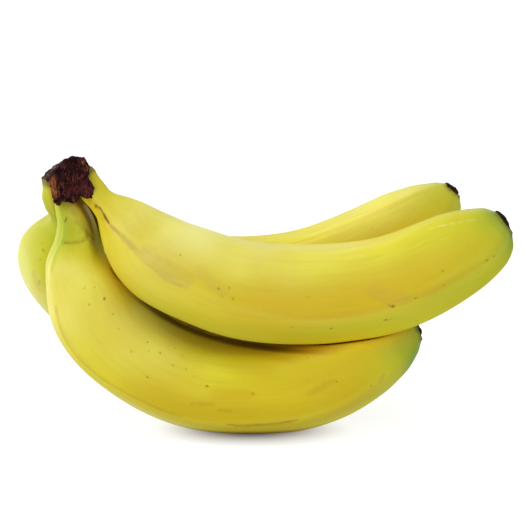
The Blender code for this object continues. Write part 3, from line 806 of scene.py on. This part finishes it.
def peelMaterial(look):
    material, tree, shader = newMaterial("waxyBananaPeel")
    mask, blend, sums, span, noise = nodeTools(tree)
    shades = {name: hexColour(text) for name, text in look.items() if isinstance(text, str)}
    where = addNode(tree, "ShaderNodeAttribute", {"attribute_name": "straight"}).outputs["Vector"]
    lengthwise = addNode(tree, "ShaderNodeMapping", {}, {0: where, 3: (look["streakStretch"], 1.0, 1.0)})
    cloud = noise(where, look["cloudMm"], 3.0)
    fibre = noise(lengthwise.outputs[0], look["streakMm"], 4.0)
    pores = noise(where, look["poreMm"], 2.0)
    speck = addNode(tree, "ShaderNodeTexVoronoi", {}, {"Vector": where, "Scale": perMetre(look["speckMm"])})
    chosen = addNode(tree, "ShaderNodeSeparateColor", {}, {0: speck.outputs["Color"]}).outputs[0]
    tiny = sums("MULTIPLY", span(speck.outputs["Distance"], 0.045, 0.1, 1.0, 0.0), span(chosen, 0.8, 0.88))
    near = mask("nestle")
    warmShade = sums("MAXIMUM", sums("MAXIMUM", mask("amberShade"), mask("grounded")), sums("POWER", near, 1.3))
    layers = [   # each amount lays its shade over what is below it
        (span(cloud, 0.42, 0.7, 0.0, 0.6), "golden"),
        (span(fibre, 0.45, 0.8, 0.0, 0.32), "deep"),
        # painted shade: deeper tone on the lower side of the body
        (mask("lowerShade"), "deep"),
        # painted highlight: a paler line along each ridge
        (sums("MULTIPLY", mask("ridge"), 0.16), "pale"),
        # pale wax bloom and painted sheen, fullest where the skin faces up and left
        (mask("bloomAndSheen"), "bloomAndSheen"),
        (span(mask("green"), 0.0, 0.6), "lime"),
        (span(mask("green"), 0.6, 1.0), "leaf"),
        (mask("band"), "band"),
        # painted shade in the folds of the neck
        (mask("creaseShade"), "creaseShade"),
        (sums("MULTIPLY", sums("POWER", near, 0.45), 0.8), "glow"),      # light thrown back between two fruit
        # painted shade: amber where fruit lie close, on skin near the floor and along the amberShade strokes
        (sums("MULTIPLY", warmShade, 0.9), "amberShade"),
        (sums("POWER", near, 3.0), "shade"),
        (mask("stain"), "stain"),
        # painted shadow: the dark strokes in the slit and between the necks
        (mask("dark"), "dark"),
        (sums("MULTIPLY", mask("bruise"), span(fibre, 0.3, 0.7, 0.6, 1.0)), "bruise"),
        (sums("MULTIPLY", tiny, 0.5), "freckle"),
        (mask("freckle"), "freckle"),
        (mask("scratch"), "scratch"),
        (sums("MULTIPLY", mask("rim"), 0.85), "rim"),
        # painted highlight streaks
        (mask("shine"), "shine"),
    ]
    # golden to lemon; the lemon on skin facing up is a painted highlight tint
    colour = blend(mask("lemon"), shades["golden"], shades["lemon"])
    for amount, shade in layers:
        colour = blend(amount, colour, shades[shade])
    tree.links.new(colour, shader.inputs["Base Color"])
    rough = span(fibre, 0.3, 0.75, look["roughness"] - 0.05, look["roughness"] + 0.08)
    rough = sums("ADD", rough, sums("MULTIPLY", sums("ADD", mask("bruise"), mask("scratch")), 0.2))
    rough = sums("SUBTRACT", rough, sums("MULTIPLY", mask("shine"), 0.28), True)
    tree.links.new(rough, shader.inputs["Roughness"])
    shader.inputs["IOR"].default_value = look["ior"]
    hidden = sums("MAXIMUM", sums("MAXIMUM", mask("dark"), near), mask("under"))
    tree.links.new(span(hidden, 0.0, 0.8, look["specular"], 0.0), shader.inputs["Specular IOR Level"])
    relief = sums("ADD", sums("MULTIPLY", fibre, 0.6), sums("MULTIPLY", pores, 0.4))
    reliefBump(tree, shader, look["bumpStrength"], look["bumpDistance"], relief)
    return material


lines = {values["node"]: axisFrame(values) for values in fruit}
peel = peelMaterial(peelLook)
for values in fruit:
    fruitPiece(values, lines, peel)
    print("fruit made:", values["node"], round(lines[values["node"]]["length"]), "mm on its axis")

# Dried blossom ends: a thin ragged scab over the end of each fruit
tipSettings = {
    "rings": 60, "sides": 150,
    "width": [(0.0, 0.86), (0.12, 1.0), (0.22, 0.98), (0.5, 0.7), (0.8, 0.35), (1.0, 0.02)],
    "lift": [(0.0, -0.5), (0.12, -0.3), (0.22, 0.1), (0.5, 0.75), (0.8, 1.0), (1.0, 0.9)],
    "foldMm": 1.5, "foldHeight": 0.55,      # size and lift of the dry folds
    "raggedMm": 2.2, "raggedReach": 0.16,   # size and share of the uneven outline
    "tilt": 0.35,                           # share by which one side stands higher
}
tipLook = {
    "dark": "#100805", "brown": "#3C2010", "rust": "#7A4A26", "grainMm": 0.9, "patchMm": 5.0,
    "roughness": 0.82, "specular": 0.08, "bumpStrength": 0.7, "bumpDistance": 0.0004,
}


def tipPiece(values, line, material):
    # radius w(u) R, lift h(u) H along the end direction: a lens, thin at its edge; the outline
    # is uneven by noise of the angle, the lift by folded noise of the place
    u = np.linspace(0, 1, tipSettings["rings"])
    width = monotoneCurve(*zip(*tipSettings["width"]), u)
    lift = monotoneCurve(*zip(*tipSettings["lift"]), u)
    angle = 2 * math.pi * np.arange(tipSettings["sides"]) / tipSettings["sides"]
    centre, up, side, tangent = [v[0] for v in axisAt(line, np.array([1.0]))]
    reach = line["radii"][-1] * values["tip"]["size"]
    circle = reach * np.stack([np.cos(angle), np.sin(angle), np.zeros(angle.shape)], -1)
    ragged = layeredNoise(circle / tipSettings["raggedMm"], values["noiseSeed"] + 5, 3)
    outline = 1 + tipSettings["raggedReach"] * ragged
    radius = reach * width[:, None] * outline[None]
    tilt = 1 + tipSettings["tilt"] * np.sin(angle + values["noiseSeed"])
    height = values["tip"]["height"] * lift[:, None] * tilt[None]
    centre = centre + values["tip"]["shift"] * up
    out = np.cos(angle)[:, None] * up + np.sin(angle)[:, None] * side
    grid = centre + radius[..., None] * out[None] + height[..., None] * tangent
    folds = layeredNoise(grid / tipSettings["foldMm"], values["noiseSeed"], 3)
    lifted = fade(0.16, 0.4, u)[:, None]
    grid = grid + (tipSettings["foldHeight"] * (0.35 - np.abs(folds)) * lifted)[..., None] * tangent
    mesh = meshFromGrid(values["node"].replace("banana", "dried_tip"), grid, {})
    return placePiece(mesh.name, mesh, material, values["node"].replace("banana", "blossom_tip"))


def tipMaterial(look):
    # shrunken flower remains, dried on the plant: matt, black-brown in the folds, rust in patches
    material, tree, shader = newMaterial("driedBlossomTissue")
    _, blend, _, span, noise = nodeTools(tree)
    where = addNode(tree, "ShaderNodeTexCoord").outputs["Object"]
    grain = noise(where, look["grainMm"], 4.0)
    patch = noise(where, look["patchMm"], 2.0)
    colour = blend(span(grain, 0.45, 0.7), hexColour(look["dark"]), hexColour(look["brown"]))
    colour = blend(span(patch, 0.58, 0.72), colour, hexColour(look["rust"]))
    tree.links.new(colour, shader.inputs["Base Color"])
    shader.inputs["Roughness"].default_value = look["roughness"]
    shader.inputs["Specular IOR Level"].default_value = look["specular"]
    reliefBump(tree, shader, look["bumpStrength"], look["bumpDistance"], grain)
    return material


tipSkin = tipMaterial(tipLook)
for values in fruit:
    tipPiece(values, lines[values["node"]], tipSkin)
print("dried tips made")

# Crown: the cushion the necks grew from, torn open at the front, knife-cut at the upper
# left, dried to dark red-brown fibre with a few ochre strands
crown = {
    "edge": [
        (-85.5, 107.0), (-83.5, 109.6), (-81.1, 112.4), (-79.0, 114.6), (-76.0, 116.4),
        (-73.5, 115.8), (-71.5, 114.8), (-69.3, 112.2), (-69.7, 110.2), (-70.2, 108.2),
        (-69.1, 105.2), (-68.3, 102.6), (-67.6, 100.2), (-68.4, 99.0), (-70.8, 99.6),
        (-73.9, 100.0), (-75.1, 98.6), (-76.3, 97.0), (-78.7, 97.8), (-80.6, 98.4),
        (-81.8, 96.6), (-83.8, 97.6), (-84.1, 100.2), (-84.8, 103.8),
    ],
    # how far the knife-cut corners stand out behind the torn face: corner -> (x, z)
    "step": {0: (-2.9, 0.3), 1: (-3.2, 0.0), 2: (-2.2, 0.0), 3: (-1.1, 0.0), 23: (-0.4, 1.9)},
    "cutCorners": (23, 3), "stepDepth": 6.0,
    "frontY": -8.0, "backY": 27.5, "roundFrom": 19.0,
    "lean": 0.225, "shift": 0.09,       # mm down and left for each mm toward the back
    "faceRings": 100, "wallRings": 110, "backRings": 34, "sides": 330,
    # hollows and lumps of the torn face: x, z, reach, depth in mm
    "hollows": [
        (-79.5, 108.5, 3.6, 1.1), (-76.0, 103.5, 3.0, 0.9), (-81.5, 101.0, 2.2, 1.0),
        (-73.0, 110.5, 2.4, 0.7), (-84.2, 104.5, 1.6, -0.6), (-71.8, 103.0, 2.8, -0.8),
        (-80.5, 112.0, 2.0, -0.5), (-78.0, 99.5, 1.6, 0.7), (-75.0, 114.0, 1.6, 0.6),
    ],
    "warpMm": 3.1, "warp": 1.1,                             # the fibres' bends: size and reach
    "fibre": (0.95, 1.6, 4.2), "pit": (2.6, 4.0, 2.4),      # sizes across, inward and along
    "tornHeights": (0.62, 0.62), "wallHeights": (0.16, 0.24),   # of the fibres and of the pits
    "raggedMm": 1.5, "raggedReach": 0.2,                    # unevenness of the outline
    "backShrink": 0.34, "backDome": 0.9,
    "strandCount": 170, "strandRadius": 0.16, "strandPoints": 12,
    "strandLength": (1.2, 3.0),                             # shortest, and what chance adds
    "strandLean": 0.45, "strandReach": 0.82, "strandLift": 0.1,
}


def crownRelief(points, torn):
    # height over the smooth form: hollows + sharp crests -|n1| of stretched, warped noise + pits
    bend = np.stack([latticeNoise(points / crown["warpMm"], 31 + k) for k in range(3)], -1)
    bent = points + crown["warp"] * bend
    fibre = 0.4 - np.abs(layeredNoise(bent / crown["fibre"], 7, 3))
    pits = layeredNoise(bent / crown["pit"], 19, 3)
    height = 0
    for amount, (high, deep) in ((torn, crown["tornHeights"]), (1 - torn, crown["wallHeights"])):
        height = height + amount * (high * fibre + deep * pits)
    for x, z, reach, depth in crown["hollows"]:
        height = height - torn * depth * bell(np.hypot(points[..., 0] - x, points[..., 2] - z), reach)
    return height


def crownPiece(values, material):
    # p = m(y) + share (edge(u, y) - m(y)): share grows 0..1 over the torn face, stays 1 down
    # the wall and falls to 0 over the back; the skin then moves along its normal by the relief
    sides = values["sides"]
    front = np.array(values["edge"])
    behind = front.copy()
    for index, step in values["step"].items():
        behind[index] += step
    loop = np.vstack([front, front[:1]])
    knots = np.r_[0, np.cumsum(np.linalg.norm(np.diff(loop, axis=0), axis=1))]
    knots = knots / knots[-1]
    u = np.linspace(0, 1, sides, endpoint=False)
    edges = []
    for corners in (front, behind):
        loop = np.vstack([corners, corners[:1]])
        edge = np.stack([np.interp(u, knots, loop[:, c]) for c in (0, 1)], -1)
        for _ in range(3):
            edge = (np.roll(edge, 1, 0) + 2 * edge + np.roll(edge, -1, 0)) / 4
        out = edge - edge.mean(0)
        out /= np.linalg.norm(out, axis=1)[:, None]
        flat = np.stack([edge[:, 0], np.zeros(sides), edge[:, 1]], -1)
        ragged = values["raggedReach"] * layeredNoise(flat / values["raggedMm"], 41, 3)
        edges.append(edge + ragged[:, None] * out)
    faceShare = np.linspace(0.01, 0.985, values["faceRings"])
    wallDepth = np.linspace(0, 1, values["wallRings"])
    backShare = np.linspace(0.96, 0.02, values["backRings"])
    share = np.concatenate([faceShare, np.ones(values["wallRings"]), backShare])
    depth = np.concatenate([np.zeros(values["faceRings"]), wallDepth, np.ones(values["backRings"])])
    y = values["frontY"] + depth * (values["backY"] - values["frontY"])
    stepped = np.clip((y - values["frontY"]) / values["stepDepth"], 0, 1)[:, None, None]
    edge = edges[0][None] + stepped * (edges[1] - edges[0])[None]
    middle = edge.mean(1, keepdims=True)
    rounded = np.clip((y - values["roundFrom"]) / (values["backY"] - values["roundFrom"]), 0, 1)
    scale = (share * (1.0 - values["backShrink"] * rounded ** 2))[:, None, None]
    flat = middle + (edge - middle) * scale
    back = y - values["frontY"]
    grid = np.stack([
        flat[..., 0] - values["shift"] * back[:, None],
        np.repeat(y[:, None], sides, axis=1),
        flat[..., 1] - values["lean"] * back[:, None],
    ], -1)
    grid[-values["backRings"]:, :, 1] += values["backDome"] * (1 - backShare)[:, None]
    onFace = np.ones(values["faceRings"])
    torn = np.concatenate([onFace, 1 - fade(0.0, 0.1, wallDepth), np.zeros(values["backRings"])])
    torn = np.repeat(torn[:, None], sides, axis=1)
    alongRing = np.roll(grid, -1, 1) - np.roll(grid, 1, 1)
    alongWall = np.gradient(grid, axis=0)
    normal = np.cross(alongWall, alongRing)
    normal /= np.linalg.norm(normal, axis=-1, keepdims=True) + 1e-9
    walls = slice(values["faceRings"] + 10, values["faceRings"] + 60)
    normal *= np.sign((normal[walls] * (grid - grid.mean((0, 1)))[walls]).sum())
    push = crownRelief(grid, torn)
    grid = grid + push[..., None] * normal
    first, last = knots[list(values["cutCorners"])]
    cutSide = fade(first - 0.01, first + 0.03, u) + 1 - fade(last - 0.02, last + 0.02, u)
    fields = {
        "cut": np.clip(cutSide, 0, 1)[None] * (1 - torn) * (depth[:, None] < 0.5),
        "rim": fade(0.93, 1.0, share)[:, None] * torn,
        # how deep the relief sinks, which darkens the pits as painted shade
        "hollow": np.clip(0.45 - 0.55 * push, 0, 1),
    }
    mesh = meshFromGrid("torn_crown", grid, fields)
    return placePiece("torn_crown", mesh, material, "crown")


def strandPiece(values, material):
    # each strand: x and z drift from a start point with one slow sine, lifted off the torn
    # face by 0.1 mm; a six-sided tube whose radius falls to a tenth at both ends
    pick = np.random.default_rng(12)
    count = values["strandCount"]
    edge = np.array(values["edge"])
    middle = edge.mean(0)
    corner = pick.integers(0, len(edge), count)
    share = values["strandReach"] * np.sqrt(pick.random(count))
    spread = pick.random(count)[:, None]
    rim = edge[corner] * (1 - spread) + edge[(corner + 1) % len(edge)] * spread
    start = middle + (rim - middle) * share[:, None]
    t = np.linspace(-0.5, 0.5, values["strandPoints"])[None]
    shortest, more = values["strandLength"]
    length = (shortest + more * pick.random(count))[:, None]
    lean = pick.normal(0.0, values["strandLean"], count)[:, None]
    sway = pick.normal(0.0, values["strandLean"], count)[:, None]
    sway = sway * np.sin(2 * math.pi * (t + pick.random(count)[:, None]))
    x = start[:, :1] + length * t * np.sin(lean) + sway
    z = start[:, 1:] + length * t * np.cos(lean)
    line = np.stack([x, np.full(x.shape, values["frontY"]), z], -1)
    line[..., 1] -= crownRelief(line, np.ones(x.shape)) + values["strandLift"] * np.cos(math.pi * t)
    radius = values["strandRadius"] * (0.6 + 0.8 * pick.random(count))[:, None]
    radius = radius * (0.1 + 0.9 * np.cos(math.pi * t))
    tangent = np.gradient(line, axis=1)
    tangent /= np.linalg.norm(tangent, axis=-1, keepdims=True)
    side = np.cross(tangent, (0.0, 1.0, 0.0))
    side /= np.linalg.norm(side, axis=-1, keepdims=True)
    up = np.cross(side, tangent)
    angle = 2 * math.pi * np.arange(6) / 6
    ring = np.cos(angle)[:, None] * side[:, :, None] + np.sin(angle)[:, None] * up[:, :, None]
    points = line[:, :, None] + radius[:, :, None, None] * ring
    index = np.arange(points[..., 0].size).reshape(points.shape[:3])
    after = np.roll(index, -1, 2)
    quads = np.stack([index[:, :-1], after[:, :-1], after[:, 1:], index[:, 1:]], -1).reshape(-1, 4)
    lids = np.vstack([index[:, 0, ::-1], index[:, -1]])
    mesh = bpy.data.meshes.new("crown_strands")
    mesh.from_pydata(toMetres(points.reshape(-1, 3)).tolist(), [], quads.tolist() + lids.tolist())
    mesh.polygons.foreach_set("use_smooth", np.ones(len(mesh.polygons), bool))
    addField(mesh, "cut", np.zeros(index.size))
    addField(mesh, "rim", np.zeros(index.size))
    addField(mesh, "hollow", np.repeat(pick.random(count) * 0.5, index[0].size))
    return placePiece("crown_strands", mesh, material, "crown")


crownLook = {
    "deep": "#1A0908", "red": "#42191A", "light": "#7A4438", "ochre": "#8E5A30", "cut": "#2C1613",
    "streak": "#5C3C30", "black": "#0E0706",
    "ochrePlaces": [   # x, z, half width, half height in mm: where pale strands show
        (-84.0, 104.0, 1.7, 3.4), (-71.9, 113.6, 0.8, 0.9), (-70.6, 110.2, 0.6, 0.8),
        (-82.8, 101.0, 1.2, 1.6),
    ],
    "ochreDepth": 6.0,
    "fibreMm": 0.7, "fibreStretch": (1.0, 0.5, 0.2), "patchMm": 3.0,
    "knifeMm": 1.0, "knifeStretch": (0.5, 0.12, 1.0),
    "roughness": 0.75, "specular": 0.08, "bumpStrength": 0.8, "bumpDistance": 0.0005,
}


def crownMaterial(look):
    # dried banana stalk tissue, torn by hand: pits painted near black as shade, fibre crests
    # maroon to rust with lighter rust on them as a painted highlight, a few ochre strands, and a
    # paler streaked face where the knife went through
    material, tree, shader = newMaterial("driedCrownFibre")
    field, blend, sums, span, noise = nodeTools(tree)
    where = addNode(tree, "ShaderNodeTexCoord").outputs["Object"]
    upright = addNode(tree, "ShaderNodeMapping", {}, {0: where, 3: look["fibreStretch"]}).outputs[0]
    inward = addNode(tree, "ShaderNodeMapping", {}, {0: where, 3: look["knifeStretch"]}).outputs[0]
    fibre = noise(upright, look["fibreMm"], 4.0, 0.8)
    patch = noise(where, look["patchMm"], 3.0)
    knife = noise(inward, look["knifeMm"], 3.0)
    # painted shade: the pits near black, by the depth of the relief
    crest = span(field("hollow"), 0.62, 0.25)
    colour = blend(crest, hexColour(look["deep"]), hexColour(look["red"]))
    # painted highlight: lighter rust on the fibre crests
    colour = blend(sums("MULTIPLY", crest, span(fibre, 0.52, 0.72)), colour, hexColour(look["light"]))
    place = 0.0
    for x, z, wide, tall in look["ochrePlaces"]:
        middle = toMetres(np.array([x, crown["frontY"], z])).tolist()
        reach = nearness(tree, where, middle, (wide, look["ochreDepth"], tall))
        place = sums("MAXIMUM", place, span(reach, 1.3, 0.5))
    colour = blend(sums("MULTIPLY", place, span(fibre, 0.42, 0.56)), colour, hexColour(look["ochre"]))
    colour = blend(span(patch, 0.62, 0.74, 0.0, 0.5), colour, hexColour(look["light"]))
    face = blend(span(knife, 0.5, 0.7), hexColour(look["cut"]), hexColour(look["streak"]))
    colour = blend(field("cut"), colour, face)
    colour = blend(sums("MULTIPLY", field("rim"), span(patch, 0.65, 0.4)), colour, hexColour(look["black"]))
    tree.links.new(colour, shader.inputs["Base Color"])
    shader.inputs["Roughness"].default_value = look["roughness"]
    shader.inputs["Specular IOR Level"].default_value = look["specular"]
    reliefBump(tree, shader, look["bumpStrength"], look["bumpDistance"], fibre)
    return material


crownSkin = crownMaterial(crownLook)
crownPiece(crown, crownSkin)
strandPiece(crown, crownSkin)
print("crown made")

# Studio: white paper floor that glows, with a painted shadow under the fruit, bright ceiling
# that dims toward the viewer, large soft key from the upper left; the dim front keeps the sheen
# off the facets that face the viewer
studio = {
    "floorHalf": 6.0,                   # metres, as are the places and sizes of the lights
    "floorTone": "#C0C0CA", "floorGlow": 0.82, "floorFar": "#8C8C8E", "floorRoughness": 0.95,
    "paintedShadowSpot": (-6.8, 0.0, 0.0), "paintedShadowReach": (19.0, 10.0, 0.0),   # mm: the painted shadow under the fruit, where the glow is dim
    "skyLow": 0.45, "skyHigh": 1.08, "skyLean": (-0.15, 0.35, 1.0),
    "aim": (0.0, 0.0, 0.05),
    "key": {"place": (-1.2, -1.6, 1.05), "size": 1.4, "power": 20.5},
    "side": {"place": (-1.3, 0.5, 0.9), "size": 1.8, "power": 18.0},
    "fill": {"place": (1.5, -1.3, 0.8), "size": 1.6, "power": 6.5},
}


def addFloor(values):
    # matt white paper that glows, a painted light, with a dim soft spot under the fruit, a
    # painted shadow, where the glow falls to none and the paper is paler; the glow grows with
    # length((p - paintedShadowSpot) / reach)
    half = values["floorHalf"]
    mesh = bpy.data.meshes.new("studioFloor")
    corners = [(-half, -half, 0), (half, -half, 0), (half, half, 0), (-half, half, 0)]
    mesh.from_pydata(corners, [], [(0, 1, 2, 3)])
    floor = bpy.data.objects.new("studioFloor", mesh)
    bpy.context.scene.collection.objects.link(floor)
    material, tree, shader = newMaterial("glowingPaperFloor")
    _, blend, sums, _, _ = nodeTools(tree)
    where = addNode(tree, "ShaderNodeTexCoord").outputs["Object"]
    middle = toMetres(np.array(values["paintedShadowSpot"])).tolist()
    reach = nearness(tree, where, middle, values["paintedShadowReach"])
    smooth = {"interpolation_type": "SMOOTHSTEP"}
    far = addNode(tree, "ShaderNodeMapRange", smooth, {0: reach, 1: 0.2, 2: 2.4}).outputs[0]
    tone = blend(far, hexColour(values["floorTone"]), hexColour(values["floorFar"]))
    tree.links.new(tone, shader.inputs["Base Color"])
    tree.links.new(sums("MULTIPLY", far, values["floorGlow"]), shader.inputs["Emission Strength"])
    shader.inputs["Emission Color"].default_value = (1.0, 1.0, 1.0, 1.0)
    shader.inputs["Roughness"].default_value = values["floorRoughness"]
    shader.inputs["Specular IOR Level"].default_value = 0.0
    mesh.materials.append(material)


def addLight(name, values):
    # a disk turned by (acos(-z), 0, atan2(y, x) - 90 degrees) of the direction to the aim
    data = bpy.data.lights.new(name, "AREA")
    data.shape = "DISK"
    data.size = values["size"]
    data.energy = values["power"]
    light = bpy.data.objects.new(name, data)
    place = np.array(values["place"])
    light.location = place
    aim = np.array(studio["aim"]) - place
    aim /= np.linalg.norm(aim)
    light.rotation_euler = (math.acos(-aim[2]), 0, math.atan2(aim[1], aim[0]) - math.pi / 2)
    bpy.context.scene.collection.objects.link(light)


addFloor(studio)
addLight("softKey", studio["key"])
addLight("softSide", studio["side"])
addLight("softFill", studio["fill"])


def addSky(values):
    # strength rises with the height of the direction, a little more so away from the viewer
    world = bpy.data.worlds.new("whiteStudio")
    world.use_nodes = True
    tree = world.node_tree
    background = tree.nodes["Background"]
    background.inputs[0].default_value = (1.0, 1.0, 1.0, 1.0)
    way = addNode(tree, "ShaderNodeTexCoord").outputs["Generated"]
    lean = addNode(tree, "ShaderNodeVectorMath", {"operation": "DOT_PRODUCT"}, {0: way, 1: values["skyLean"]})
    level = addNode(tree, "ShaderNodeMapRange", {}, {
        0: lean.outputs["Value"], 1: -0.3, 2: 0.8, 3: values["skyLow"], 4: values["skyHigh"],
    })
    tree.links.new(level.outputs[0], background.inputs[1])
    bpy.context.scene.world = world


addSky(studio)
bpy.context.scene.view_settings.view_transform = "Standard"
print("studio lit")
